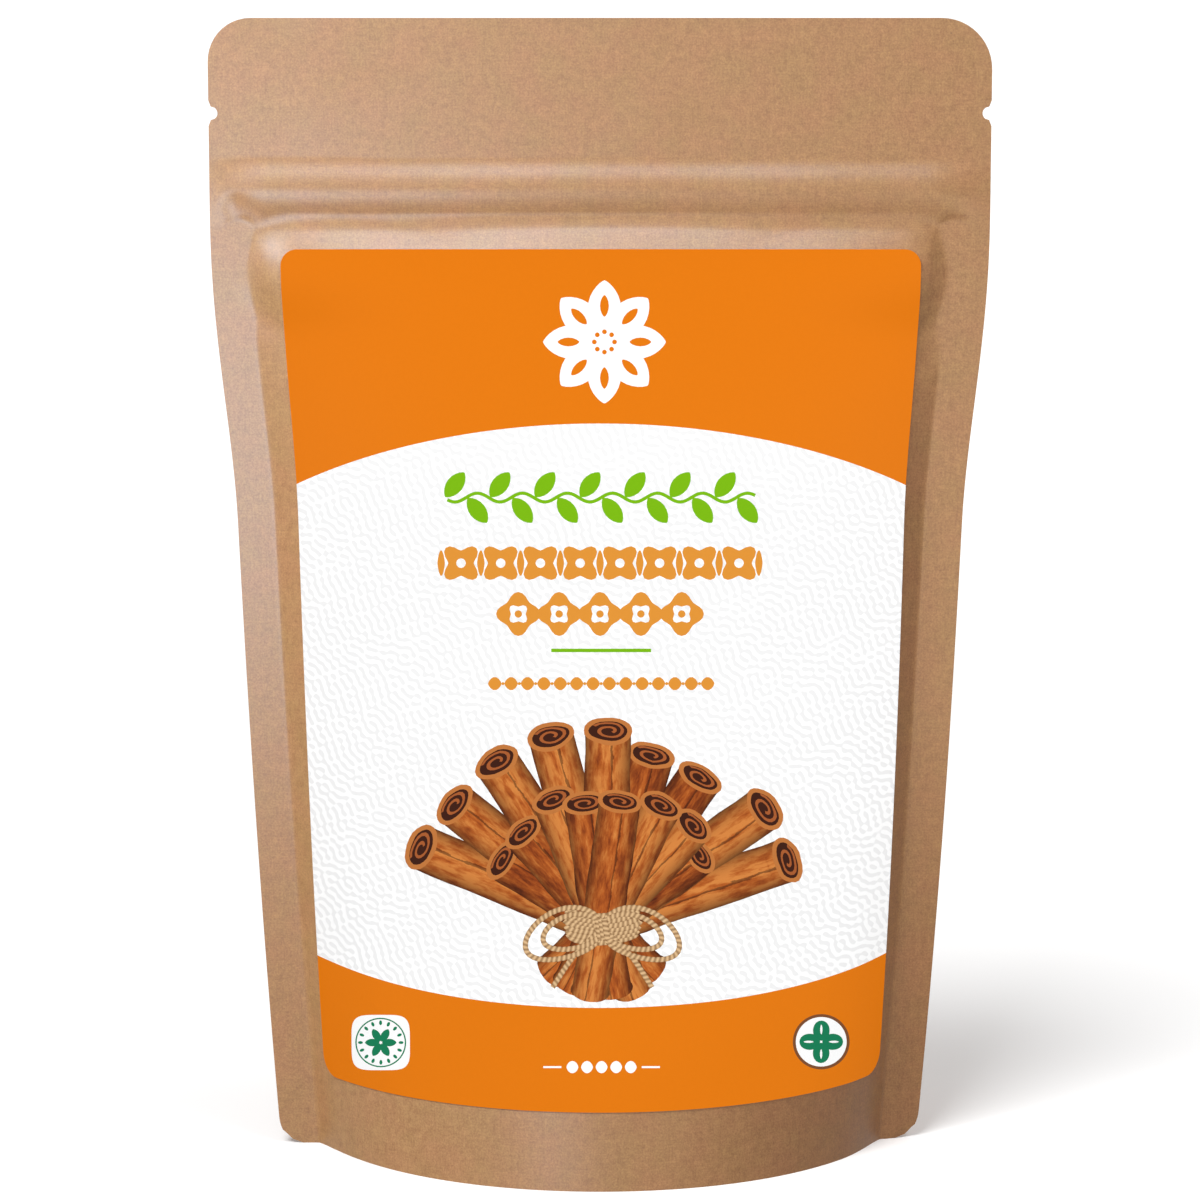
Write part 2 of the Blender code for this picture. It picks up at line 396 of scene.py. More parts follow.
def make_pouch(kraft):
    """Front and back of the bag, their cut edges, and the folded base, as one closed skin."""
    rows = paper_rows()
    half = paper_columns()
    fixed = half <= EDGE_CELLS_FROM
    places = []
    for z in rows:
        sides = []
        for sign in (-1, 1):
            squeeze = (half_width(z, sign) - EDGE_CELLS_FROM) / (WIDTH / 2 - EDGE_CELLS_FROM)
            sides.append(sign * np.where(fixed, half, EDGE_CELLS_FROM + (half - EDGE_CELLS_FROM) * squeeze))
        places.append(np.concatenate([sides[0][::-1], sides[1][1:]]))
    s = np.array(places)
    z = np.array(rows)[:, None] + 0.0 * s
    front, back = on_paper(s, z, -1), on_paper(s, z, 1)
    count = s.size
    front_numbers = np.arange(count).reshape(s.shape)
    back_numbers = front_numbers + count

    near, far = front[0], back[0]
    reach = (far[:, 1] - near[:, 1]) / 2
    rim = np.minimum(RIM, 0.4 * reach)
    middle = (far[:, 1] + near[:, 1]) / 2
    lift = FOLD_LIFT * np.clip(1.0 - (s[0] / FOLD_END) ** 4, 0.0, None)
    stations = np.sin(np.linspace(-math.pi / 2, math.pi / 2, FOLD_STATIONS))
    fold = []
    for station in stations:
        height = 0.0 * lift if abs(station) > 0.999 else lift * (1.0 - FOLD_SAG * (1.0 - station**2))
        fold.append(np.stack([near[:, 0], middle + station * (reach - rim), height], axis=-1))
    fold = np.array(fold)
    fold_numbers = np.arange(fold[..., 0].size).reshape(fold.shape[:2]) + 2 * count
    base = np.concatenate([back_numbers[:1], fold_numbers[::-1], front_numbers[:1]])

    faces = np.concatenate([
        grid_faces(front_numbers, True),
        grid_faces(back_numbers, False),
        grid_faces(np.stack([front_numbers[:, -1], back_numbers[:, -1]], axis=1), True),
        grid_faces(np.stack([front_numbers[:, 0], back_numbers[:, 0]], axis=1), False),
        grid_faces(np.stack([front_numbers[-1], back_numbers[-1]]), True),
        grid_faces(base, True),
    ])
    # The two ends of the base, under the side seals
    ends = []
    for column, outward in ((0, False), (-1, True)):
        ring = [int(base[row, column]) for row in range(base.shape[0])]
        ends.append(ring if outward else ring[::-1])
    corners = np.concatenate([front.reshape(-1, 3), back.reshape(-1, 3), fold.reshape(-1, 3)])
    pouch = make_mesh("kraft_pouch", corners, [list(f) for f in faces] + ends, [kraft])
    pouch.data.shade_smooth()
    pouch.data.set_sharp_from_angle(angle=math.radians(SHARP_FOLD))
    return pouch


# The plain white stage

STAGE_FRONT = -1.6
STAGE_BEND = 0.9
STAGE_RADIUS = 0.5
STAGE_TOP = 1.6
STAGE_HALF_WIDTH = 1.8
STAGE_STEPS = 16


def make_stage():
    """A sheet of backdrop paper: the floor curves up into the background."""
    profile = [(STAGE_FRONT, 0.0)]
    for step in range(STAGE_STEPS + 1):
        turn = math.pi / 2 * step / STAGE_STEPS
        rise = STAGE_RADIUS * (1.0 - math.cos(turn))
        profile.append((STAGE_BEND + STAGE_RADIUS * math.sin(turn), rise))
    profile.append((STAGE_BEND + STAGE_RADIUS, STAGE_TOP))
    corners = [(x, y, z) for y, z in profile for x in (-STAGE_HALF_WIDTH, STAGE_HALF_WIDTH)]
    faces = grid_faces(np.arange(len(corners)).reshape(-1, 2), True)
    floor = make_mesh("stage_sweep", corners, faces, [sweep_paper()])
    floor.data.shade_smooth()
    floor.visible_diffuse = False
    floor.visible_glossy = False
    return floor


# Finishes

# What shows in the kraft, in millimetres: pulp, clumps of it, drifts of tone, and faint streaks both ways
PULP = 0.45
CLUMP = 2.0
CLOUD = 11.0
STREAK_LENGTH = 6.0
STREAK_WIDTH = 0.45
SPECK_SPACING = 7.5
SPECK_RADIUS = 0.35

# How much the clumps and each set of streaks add to the pulp's tone
CLUMP_WEIGHT = 0.55
STREAK_WEIGHT = 0.28

# The unevenness of an ink film, in millimetres: coarser than the real one, so that it shows
INK_FILM = 1.111

# Ink on coated paper: half matt, with little shine of its own
INK_FINISH = {"Roughness": 0.55, "Specular IOR Level": 0.1}


def per_metre(millimetres):
    """A pattern's scale, from the real size of what it draws."""
    return 1000.0 / millimetres


def new_material(name):
    """A material, what adds a node to it, and its shader."""
    material = bpy.data.materials.new(name)
    material.use_nodes = True
    tree = material.node_tree
    return material, partial(add_node, tree), tree.nodes["Principled BSDF"]


def sweep_paper():
    """Matt white backdrop paper, with hardly any shine."""
    material, _, shader = new_material("white_sweep_paper")
    give(shader, {"Base Color": linear("#FAFAFA"), "Roughness": 0.9, "Specular IOR Level": 0.1})
    return material


def kraft_paper():
    """Unbleached kraft under a matt film: a fine mottle of pulp, faint streaks, and a few dark specks.

    The film is smooth, so pale light slides over the brown at the bends, with only a faint tooth in it.
    """
    material, add, shader = new_material("unbleached_kraft_paper")
    place = add("ShaderNodeTexCoord").outputs["Object"]
    pulp, clump, cloud = [
        add("ShaderNodeTexNoise", {
            "Vector": place, "Scale": per_metre(size), "Detail": detail, "Roughness": 0.6,
        })
        for size, detail in ((PULP, 2.0), (CLUMP, 3.0), (CLOUD, 3.0))
    ]
    grain = add("ShaderNodeMath", {0: clump, 1: CLUMP_WEIGHT, 2: pulp}, operation="MULTIPLY_ADD")
    for wide, tall in ((STREAK_LENGTH, STREAK_WIDTH), (STREAK_WIDTH, STREAK_LENGTH)):
        ways = (per_metre(wide), per_metre(STREAK_LENGTH), per_metre(tall))
        stretched = add("ShaderNodeVectorMath", {0: place, 1: ways}, operation="MULTIPLY")
        streak = add("ShaderNodeTexNoise", {"Vector": stretched, "Scale": 1.0, "Detail": 2.0})
        grain = add("ShaderNodeMath", {0: streak, 1: STREAK_WEIGHT, 2: grain}, operation="MULTIPLY_ADD")
    shade = add("ShaderNodeMapRange", {"Value": grain, "From Min": 0.585, "From Max": 1.525})
    tone = add("ShaderNodeMix", {
        "Factor": shade, "A": linear("#865229"), "B": linear("#C08A56"),
    }, data_type="RGBA")
    warmth = add("ShaderNodeMapRange", {"Value": cloud, "From Min": 0.35, "From Max": 0.65})
    tint = add("ShaderNodeMix", {
        "Factor": warmth, "A": linear("#FDF1E6"), "B": linear("#F7F4DF"),
    }, data_type="RGBA")
    paper = add(
        "ShaderNodeMix", {"Factor": 1.0, "A": tone, "B": tint}, data_type="RGBA", blend_type="MULTIPLY"
    )
    cell = add("ShaderNodeTexVoronoi", {"Vector": place, "Scale": per_metre(SPECK_SPACING)})
    draw = add("ShaderNodeSeparateColor", {"Color": cell.outputs["Color"]}).outputs["Red"]
    reach = add("ShaderNodeMapRange", {
        "Value": draw, "From Min": 0.55, "From Max": 1.0, "To Max": SPECK_RADIUS / SPECK_SPACING,
    })
    inside = add("ShaderNodeMath", {0: cell.outputs["Distance"], 1: reach}, operation="LESS_THAN")
    dark = add("ShaderNodeMath", {0: inside, 1: 0.45}, operation="MULTIPLY")
    specked = add("ShaderNodeMix", {"Factor": dark, "A": paper, "B": linear("#5A3319")}, data_type="RGBA")
    bump = add("ShaderNodeBump", {"Height": grain, "Strength": 0.3, "Distance": 0.00005})
    gloss = add("ShaderNodeMapRange", {
        "Value": clump, "From Min": 0.3, "From Max": 0.7, "To Min": 0.54, "To Max": 0.66,
    })
    give(shader, {
        "Base Color": specked, "Normal": bump, "Roughness": gloss,
        "Coat Weight": 1.0, "Coat Roughness": 0.29, "Coat IOR": 1.5,
    })
    return material


def flat_ink(name, colour):
    """Offset ink on coated label paper: even colour with a faint unevenness in the ink film."""
    material, add, shader = new_material(name)
    place = add("ShaderNodeTexCoord").outputs["Object"]
    film = add("ShaderNodeTexNoise", {"Vector": place, "Scale": per_metre(INK_FILM), "Detail": 2.0})
    level = add("ShaderNodeMapRange", {"Value": film, "To Min": 0.97})
    mixed = add("ShaderNodeMix", {
        "Factor": 1.0, "A": linear(colour), "B": level,
    }, data_type="RGBA", blend_type="MULTIPLY")
    give(shader, {"Base Color": mixed, **INK_FINISH})
    return material


# The maze's line spacing in millimetres, and the degrees that its lines lean and fan out
LABYRINTH_PITCH = 2.0
LABYRINTH_WAVES = 12
LABYRINTH_WAY = 45.0
LABYRINTH_FAN = 46.0
LABYRINTH_SEED = 11


def labyrinth_white():
    """Coated white label paper with a pale grey maze of short wriggling lines printed over it.

    The maze is where many plane waves of one length, running several ways, add up above nothing.
    """
    material, add, shader = new_material("labyrinth_white")
    place = add("ShaderNodeTexCoord").outputs["Object"]
    draw = np.random.default_rng(LABYRINTH_SEED)
    total = 0.0
    for wave in range(LABYRINTH_WAVES):
        share = (wave + 0.5) / LABYRINTH_WAVES
        way = math.radians(LABYRINTH_WAY + LABYRINTH_FAN * 2.0 * (share - 0.5) * draw.uniform(0.8, 1.6))
        count = 2.0 * math.pi * per_metre(LABYRINTH_PITCH) * draw.uniform(0.92, 1.08)
        ahead = (count * math.cos(way), 0.0, count * math.sin(way))
        angle = add("ShaderNodeVectorMath", {0: place, 1: ahead}, operation="DOT_PRODUCT")
        phase = draw.uniform(0.0, 2.0 * math.pi)
        turned = add("ShaderNodeMath", {0: angle, 1: phase}, operation="ADD")
        swing = add("ShaderNodeMath", {0: turned}, operation="SINE")
        total = add("ShaderNodeMath", {0: total, 1: swing}, operation="ADD")
    edge = add("ShaderNodeMapRange", {
        "Value": total, "From Min": -0.3, "From Max": 0.9,
    }, interpolation_type="SMOOTHSTEP")
    mixed = add("ShaderNodeMix", {
        "Factor": edge, "A": linear("#FBFBFB"), "B": linear("#EBEBEB"),
    }, data_type="RGBA")
    give(shader, {"Base Color": mixed, **INK_FINISH})
    return material


# How fast the bark's streaks change across half a roll, in each millimetre along it, and from roll to roll
BARK_STREAKS = (2.4, 0.10, 37.0)

# The same for the twist of the twine, in radians: a strand shows in every 1.26 mm of its length
TWINE_TWIST = (1.1, 5.0, 9.0)


def printed_bark():
    """Ink in bark browns: streaks along each roll, a dark seam, and shade towards its two edges."""
    material, add, shader = new_material("printed_bark")
    place = add("ShaderNodeAttribute", attribute_name="print_place").outputs["Vector"]
    parts = add("ShaderNodeSeparateXYZ", {"Vector": place})
    across, tone = parts.outputs["X"], parts.outputs["Z"]
    stretched = add("ShaderNodeVectorMath", {0: place, 1: BARK_STREAKS}, operation="MULTIPLY")
    streak = add("ShaderNodeTexNoise", {"Vector": stretched, "Scale": 1.6, "Detail": 5.0, "Roughness": 0.62})
    patch = add("ShaderNodeMath", {0: tone, 1: 0.26, 2: streak}, operation="MULTIPLY_ADD")
    bark = add("ShaderNodeValToRGB", {"Fac": patch})
    stops = ((0.34, "#4E1C06"), (0.50, "#863B10"), (0.64, "#AA561D"), (0.80, "#C97C3A"))
    while len(bark.color_ramp.elements) < len(stops):
        bark.color_ramp.elements.new(0.5)
    for element, (at, colour) in zip(bark.color_ramp.elements, stops):
        element.position = at
        element.color = linear(colour)
    aside = add("ShaderNodeMath", {0: across}, operation="ABSOLUTE")
    turned_away = add("ShaderNodeMath", {0: aside, 1: 2.1}, operation="POWER")
    rounding = add("ShaderNodeMapRange", {"Value": turned_away, "To Min": 1.08, "To Max": 0.24})
    seam_way = add("ShaderNodeMath", {0: streak, 1: 0.35, 2: across}, operation="MULTIPLY_ADD")
    seam_place = add("ShaderNodeMath", {0: seam_way, 1: 0.36, 2: 0.045}, operation="COMPARE")
    seam = add("ShaderNodeMapRange", {"Value": seam_place, "To Min": 1.0, "To Max": 0.42})
    shade = add("ShaderNodeMath", {0: rounding, 1: seam}, operation="MULTIPLY")
    mixed = add(
        "ShaderNodeMix", {"Factor": 1.0, "A": bark, "B": shade}, data_type="RGBA", blend_type="MULTIPLY"
    )
    give(shader, {"Base Color": mixed, **INK_FINISH})
    return material


def printed_twine():
    """Ink in the straw colour of jute, with the slant of its twisted strands."""
    material, add, shader = new_material("printed_twine")
    place = add("ShaderNodeAttribute", attribute_name="print_place").outputs["Vector"]
    slant = add("ShaderNodeVectorMath", {0: place, 1: TWINE_TWIST}, operation="DOT_PRODUCT")
    twist = add("ShaderNodeMath", {0: slant}, operation="SINE")
    across = add("ShaderNodeSeparateXYZ", {"Vector": place}).outputs["X"]
    aside = add("ShaderNodeMath", {0: across}, operation="ABSOLUTE")
    edge = add("ShaderNodeMath", {0: aside, 1: 3.0}, operation="POWER")
    shade = add("ShaderNodeMath", {0: edge, 1: -0.9, 2: twist}, operation="MULTIPLY_ADD")
    level = add("ShaderNodeMapRange", {"Value": shade, "From Min": -1.8, "From Max": 1.0})
    mixed = add("ShaderNodeMix", {
        "Factor": level, "A": linear("#7A5530"), "B": linear("#DDB88A"),
    }, data_type="RGBA")
    give(shader, {"Base Color": mixed, **INK_FINISH})
    return material


INKS = {
    "orange": flat_ink("orange_ink", "#DF7600"),
    "white": labyrinth_white(),
    "paper": flat_ink("bare_label_paper", "#FAFAFA"),
    "green": flat_ink("leaf_green_ink", "#77B400"),
    "tan": flat_ink("tan_ink", "#DC9032"),
    "dark_green": flat_ink("dark_green_ink", "#0F7A52"),
    "brown": flat_ink("brown_ink", "#7A4A2A"),
    "bark": printed_bark(),
    "rim": flat_ink("cut_bark_ink", "#BC7338"),
    "hollow": flat_ink("dark_bark_ink", "#3B1708"),
    "curl": flat_ink("curled_bark_ink", "#A4582A"),
    "twine": printed_twine(),
}
INK_OF_MATERIAL = {material.name: ink for ink, material in INKS.items()}


# The repeated shapes of the print are grown by Geometry Nodes, in the plane of the drawing

def new_tree(name, sockets):
    """A node tree, what adds a node to it, and the inputs that it is given."""
    tree = bpy.data.node_groups.new(name, "GeometryNodeTree")
    for label, kind, value in sockets:
        socket = tree.interface.new_socket(label, in_out="INPUT", socket_type="NodeSocket" + kind)
        if value is not None:
            socket.default_value = value
    tree.interface.new_socket("Geometry", in_out="OUTPUT", socket_type="NodeSocketGeometry")
    add = partial(add_node, tree)
    return tree, add, add("NodeGroupInput").outputs


def ornament_tree():
    """One lobed or pointed shape, repeated along a row or round a ring."""
    tree, add, given = new_tree("ornaments", (
        ("Count", "Int", 8), ("Pitch", "Float", 10.0), ("Ring", "Float", 0.0), ("Length", "Float", 8.0),
        ("Width", "Float", 8.0), ("Point", "Float", 0.0), ("Lobes", "Float", 4.0), ("Depth", "Float", 0.0),
        ("Turn", "Float", 0.0), ("Turn to and fro", "Float", 0.0), ("Sway", "Float", 0.0),
        ("Corners", "Int", 24), ("Ink", "Material", None),
    ))
    circle = add("GeometryNodeMeshCircle", {"Vertices": given["Corners"], "Radius": 1.0}, fill_type="NGON")
    spot = add("ShaderNodeSeparateXYZ", {0: add("GeometryNodeInputPosition")})
    x, y = spot.outputs["X"], spot.outputs["Y"]
    angle = add("ShaderNodeMath", {0: y, 1: x}, operation="ARCTAN2")
    lobed = add("ShaderNodeMath", {0: angle, 1: given["Lobes"]}, operation="MULTIPLY")
    wave = add("ShaderNodeMath", {0: lobed}, operation="COSINE")
    reach = add("ShaderNodeMath", {0: wave, 1: given["Depth"], 2: 1.0}, operation="MULTIPLY_ADD")
    height = add("ShaderNodeMath", {0: y}, operation="ABSOLUTE")
    pinch = add("ShaderNodeMath", {0: height, 1: given["Point"]}, operation="POWER")
    pinched = add("ShaderNodeMath", {0: y, 1: pinch}, operation="MULTIPLY")
    flat = add("ShaderNodeCombineXYZ", {"X": x, "Y": pinched})
    grown = add("ShaderNodeVectorMath", {0: flat, "Scale": reach}, operation="SCALE")
    size = add("ShaderNodeCombineXYZ", {"X": given["Length"], "Y": given["Width"]})
    sized = add("ShaderNodeVectorMath", {0: grown, 1: size}, operation="MULTIPLY")
    halved = add("ShaderNodeVectorMath", {0: sized, "Scale": 0.5}, operation="SCALE")
    shape = add("GeometryNodeSetPosition", {"Geometry": circle, "Position": halved})

    less = add("ShaderNodeMath", {0: given["Count"], 1: 1.0}, operation="SUBTRACT")
    span = add("ShaderNodeMath", {0: less, 1: given["Pitch"]}, operation="MULTIPLY")
    start = add("ShaderNodeMath", {0: span, 1: -0.5}, operation="MULTIPLY")
    line = add("GeometryNodeMeshLine", {
        "Count": given["Count"],
        "Start Location": add("ShaderNodeCombineXYZ", {"X": start}),
        "Offset": add("ShaderNodeCombineXYZ", {"X": given["Pitch"]}),
    })
    ring = add("GeometryNodeMeshCircle", {"Vertices": given["Count"], "Radius": given["Ring"]})
    round_it = add("ShaderNodeMath", {0: given["Ring"], 1: 0.0}, operation="GREATER_THAN")
    points = add(
        "GeometryNodeSwitch", {"Switch": round_it, "False": line, "True": ring}, input_type="GEOMETRY"
    )
    odd = add("ShaderNodeMath", {0: add("GeometryNodeInputIndex"), 1: 2.0}, operation="MODULO")
    sign = add("ShaderNodeMath", {0: odd, 1: -2.0, 2: 1.0}, operation="MULTIPLY_ADD")
    outward = add("ShaderNodeMath", {0: angle, 1: round_it}, operation="MULTIPLY")
    fixed = add("ShaderNodeMath", {0: outward, 1: given["Turn"]}, operation="ADD")
    turned = add("ShaderNodeMath", {0: sign, 1: given["Turn to and fro"], 2: fixed}, operation="MULTIPLY_ADD")
    swayed = add("ShaderNodeMath", {0: sign, 1: given["Sway"]}, operation="MULTIPLY")
    aside = add("ShaderNodeCombineXYZ", {"Y": swayed})
    moved = add("GeometryNodeSetPosition", {"Geometry": points, "Offset": aside})
    facing = add("ShaderNodeCombineXYZ", {"Z": turned})
    copies = add("GeometryNodeInstanceOnPoints", {"Points": moved, "Instance": shape, "Rotation": facing})
    real = add("GeometryNodeRealizeInstances", {"Geometry": copies})
    inked = add("GeometryNodeSetMaterial", {"Geometry": real, "Material": given["Ink"]})
    add("NodeGroupOutput", {0: inked})
    return tree


# The parts of a bark roll, from the lowest layer up, and the inks that they are printed in
ROLL_PARTS = ("Bark", "Cut end", "Hollow", "Curl")
ROLL_INKS = ("bark", "rim", "hollow", "curl")

# The cut end and the hollow, half across and half up, in widths of the roll
END_SIZES = ((0.53, 0.30), (0.42, 0.21))

# The curl in the hollow: how far it winds and from where, in radians, then in widths of the roll its
# growing reach, its own width, and how it is squashed
CURL_TURN = (9.6, 4.0)
CURL_REACH = (0.30, 0.25)
CURL_WIDTH = 0.085
CURL_SQUASH = (0.95, 0.46)


def quill_tree():
    """A fan of bark rolls: each a long body with a cut end, a dark hollow and a curl inside it."""
    tree, add, given = new_tree("bark_rolls", (
        ("Count", "Int", 9), ("Facing", "Float", 0.0), ("Spread", "Float", 1.0), ("Root", "Float", 4.0),
        ("Length", "Float", 45.0), ("Width", "Float", 11.0), ("Unevenness", "Float", 0.6),
        ("Seed", "Int", 3), *((part, "Material", None) for part in ROLL_PARTS),
    ))
    width, length = given["Width"], given["Length"]
    spot = add("ShaderNodeSeparateXYZ", {0: add("GeometryNodeInputPosition")})
    x, y = spot.outputs["X"], spot.outputs["Y"]
    body, strip = [
        add("GeometryNodeMeshGrid", {"Vertices X": across, "Vertices Y": along})
        for across, along in ((2, 11), (26, 2))
    ]
    across = add("ShaderNodeMath", {0: x, 1: width}, operation="MULTIPLY")
    up = add("ShaderNodeMath", {0: y, 1: 0.5}, operation="ADD")
    along = add("ShaderNodeMath", {0: up, 1: length}, operation="MULTIPLY")
    shapes = [(body, across, along)]
    for wide, tall in END_SIZES:
        end = add("GeometryNodeMeshCircle", {"Vertices": 22, "Radius": 1.0}, fill_type="NGON")
        half_wide = add("ShaderNodeMath", {0: width, 1: wide}, operation="MULTIPLY")
        half_tall = add("ShaderNodeMath", {0: width, 1: tall}, operation="MULTIPLY")
        across = add("ShaderNodeMath", {0: x, 1: half_wide}, operation="MULTIPLY")
        along = add("ShaderNodeMath", {0: y, 1: half_tall, 2: length}, operation="MULTIPLY_ADD")
        shapes.append((end, across, along))
    turn = add("ShaderNodeMath", {0: x, 1: CURL_TURN[0], 2: CURL_TURN[1]}, operation="MULTIPLY_ADD")
    inward = add("ShaderNodeMath", {0: x, 1: CURL_REACH[0], 2: CURL_REACH[1]}, operation="MULTIPLY_ADD")
    radius = add("ShaderNodeMath", {0: y, 1: CURL_WIDTH, 2: inward}, operation="MULTIPLY_ADD")
    spiral = []
    for circular, squash in zip(("COSINE", "SINE"), CURL_SQUASH):
        swing = add("ShaderNodeMath", {0: turn}, operation=circular)
        out = add("ShaderNodeMath", {0: swing, 1: radius}, operation="MULTIPLY")
        size = add("ShaderNodeMath", {0: width, 1: squash}, operation="MULTIPLY")
        spiral.append(add("ShaderNodeMath", {0: out, 1: size}, operation="MULTIPLY"))
    lifted = add("ShaderNodeMath", {0: spiral[1], 1: length}, operation="ADD")
    shapes.append((strip, spiral[0], lifted))
    joined = add("GeometryNodeJoinGeometry")
    for part, (shape, across, along) in enumerate(shapes):
        where = add("ShaderNodeCombineXYZ", {"X": across, "Y": along})
        placed = add("GeometryNodeSetPosition", {"Geometry": shape, "Position": where})
        give(joined, {0: add(
            "GeometryNodeStoreNamedAttribute", {"Geometry": placed, "Name": "part", "Value": part},
            data_type="INT", domain="FACE",
        )})

    line = add("GeometryNodeMeshLine", {"Count": given["Count"], "Offset": (0.0, 0.0, 0.0)})
    index = add("GeometryNodeInputIndex")
    last = add("ShaderNodeMath", {0: given["Count"], 1: 1.0}, operation="SUBTRACT")
    share = add("ShaderNodeMath", {0: index, 1: last}, operation="DIVIDE")
    centred = add("ShaderNodeMath", {0: share, 1: 2.0, 2: -1.0}, operation="MULTIPLY_ADD")
    fanned = add("ShaderNodeMath", {
        0: centred, 1: given["Spread"], 2: given["Facing"],
    }, operation="MULTIPLY_ADD")
    shaken, tone, longer = [
        add("FunctionNodeRandomValue", {"Min": low, "Max": high, "Seed": given["Seed"]}, data_type="FLOAT")
        for low, high in ((-0.045, 0.045), (0.0, 1.0), (0.90, 1.06))
    ]
    angle = add("ShaderNodeMath", {0: fanned, 1: shaken}, operation="ADD")
    sine, cosine = [
        add("ShaderNodeMath", {0: angle}, operation=circular) for circular in ("SINE", "COSINE")
    ]
    way = add("ShaderNodeCombineXYZ", {"X": sine, "Y": cosine})
    foot = add("ShaderNodeVectorMath", {0: way, "Scale": given["Root"]}, operation="SCALE")
    held = line
    for name, kind, value in (
        ("turn", "FLOAT", angle), ("tone", "FLOAT", tone), ("longer", "FLOAT", longer),
        ("quill", "INT", index), ("foot", "FLOAT_VECTOR", foot),
    ):
        held = add(
            "GeometryNodeStoreNamedAttribute", {"Geometry": held, "Name": name, "Value": value},
            data_type=kind, domain="POINT",
        )
    read = {
        name: add("GeometryNodeInputNamedAttribute", {"Name": name}, data_type=kind)
        for name, kind in (("turn", "FLOAT"), ("longer", "FLOAT"), ("foot", "FLOAT_VECTOR"), ("part", "INT"))
    }
    spread_out = add("GeometryNodeSetPosition", {"Geometry": held, "Position": read["foot"]})
    back = add("ShaderNodeMath", {0: read["turn"], 1: -1.0}, operation="MULTIPLY")
    copies = add("GeometryNodeInstanceOnPoints", {
        "Points": spread_out, "Instance": joined,
        "Rotation": add("ShaderNodeCombineXYZ", {"Z": back}),
        "Scale": add("ShaderNodeCombineXYZ", {"X": 1.0, "Y": read["longer"], "Z": 1.0}),
    })
    real = add("GeometryNodeRealizeInstances", {"Geometry": copies})
    rough = add("ShaderNodeTexNoise", {
        "Vector": add("GeometryNodeInputPosition"), "Scale": 0.16, "Detail": 2.0,
    }).outputs["Color"]
    shift = add("ShaderNodeVectorMath", {0: rough, 1: (0.5, 0.5, 0.5)}, operation="SUBTRACT")
    scaled = add("ShaderNodeVectorMath", {0: shift, "Scale": given["Unevenness"]}, operation="SCALE")
    flat = add("ShaderNodeVectorMath", {0: scaled, 1: (1.0, 1.0, 0.0)}, operation="MULTIPLY")
    result = add("GeometryNodeSetPosition", {"Geometry": real, "Offset": flat})
    for part, name in enumerate(ROLL_PARTS):
        chosen = add(
            "FunctionNodeCompare", {"A": read["part"], "B": part}, data_type="INT", operation="EQUAL"
        )
        result = add("GeometryNodeSetMaterial", {
            "Geometry": result, "Selection": chosen, "Material": given[name],
        })
    add("NodeGroupOutput", {0: result})
    return tree


def grow(tree, settings):
    """The plain mesh that a tree makes with these settings."""
    thing = bpy.data.objects.new("drawing", bpy.data.meshes.new("drawing"))
    bpy.context.scene.collection.objects.link(thing)
    growth = thing.modifiers.new("growth", "NODES")
    growth.node_group = tree
    names = {item.name: item.identifier for item in tree.interface.items_tree if item.in_out == "INPUT"}
    for name, value in settings.items():
        growth[names[name]] = value
    settled = thing.evaluated_get(bpy.context.evaluated_depsgraph_get())
    mesh = bpy.data.meshes.new_from_object(settled)
    bpy.data.objects.remove(thing, do_unlink=True)
    return mesh


ORNAMENTS = ornament_tree()
QUILLS = quill_tree()


def outline_of(face, mesh, centre):
    """A face of a grown mesh, as an outline round this centre."""
    corners = [mesh.vertices[number].co for number in face.vertices]
    return [(corner.x + centre[0], corner.y + centre[1]) for corner in corners]


def ornaments(drawing, ink, centre, **settings):
    """Adds a row or ring of shapes to the drawing, over what is there."""
    named = {name.replace("_", " ").capitalize(): value for name, value in settings.items()}
    mesh = grow(ORNAMENTS, {**named, "Ink": INKS[ink]})
    drawing.extend((outline_of(face, mesh, centre), ink, None) for face in mesh.polygons)
    bpy.data.meshes.remove(mesh)


def bark_rolls(drawing, centre, width, open_end=True, **settings):
    """Adds a fan of bark rolls, the outer ones first, so that the middle one lies on top."""
    named = {name.capitalize(): value for name, value in settings.items()}
    inks = {part: INKS[ink if open_end else "bark"] for part, ink in zip(ROLL_PARTS, ROLL_INKS)}
    mesh = grow(QUILLS, {**named, **inks, "Width": width})
    turn, tone, foot, quill = [mesh.attributes[name].data for name in ("turn", "tone", "foot", "quill")]
    middle = (settings["count"] - 1) / 2
    layers = []
    for number, face in enumerate(mesh.polygons):
        first = face.vertices[0]
        ink = INK_OF_MATERIAL[mesh.materials[face.material_index].name]
        start = foot[first].vector
        place = (start.x + centre[0], start.y + centre[1])
        roll = (*place, turn[first].value, width / 2, 0.0, tone[first].value)
        height = (-abs(quill[first].value - middle), quill[first].value, ROLL_INKS.index(ink), number)
        layers.append((height, (outline_of(face, mesh, centre), ink, roll if ink == "bark" else None)))
    bpy.data.meshes.remove(mesh)
    drawing.extend(shape for _, shape in sorted(layers, key=lambda layer: layer[0]))


def ribbon(drawing, ink, path, width, tone=0.0):
    """Adds a strip of even width along a path, as quads that each know their place along it."""
    path = np.array(path, float)
    ahead = np.gradient(path, axis=0)
    ahead /= np.linalg.norm(ahead, axis=1, keepdims=True)
    side = np.stack([ahead[:, 1], -ahead[:, 0]], axis=1) * width / 2
    run = 0.0
    for a, b, sa, sb in zip(path, path[1:], side, side[1:]):
        way = b - a
        turn = math.atan2(way[0], way[1])
        outline = [tuple(a + sa), tuple(b + sb), tuple(b - sb), tuple(a - sa)]
        drawing.append((outline, ink, (a[0], a[1], turn, width / 2, run, tone)))
        run += float(np.hypot(*way))


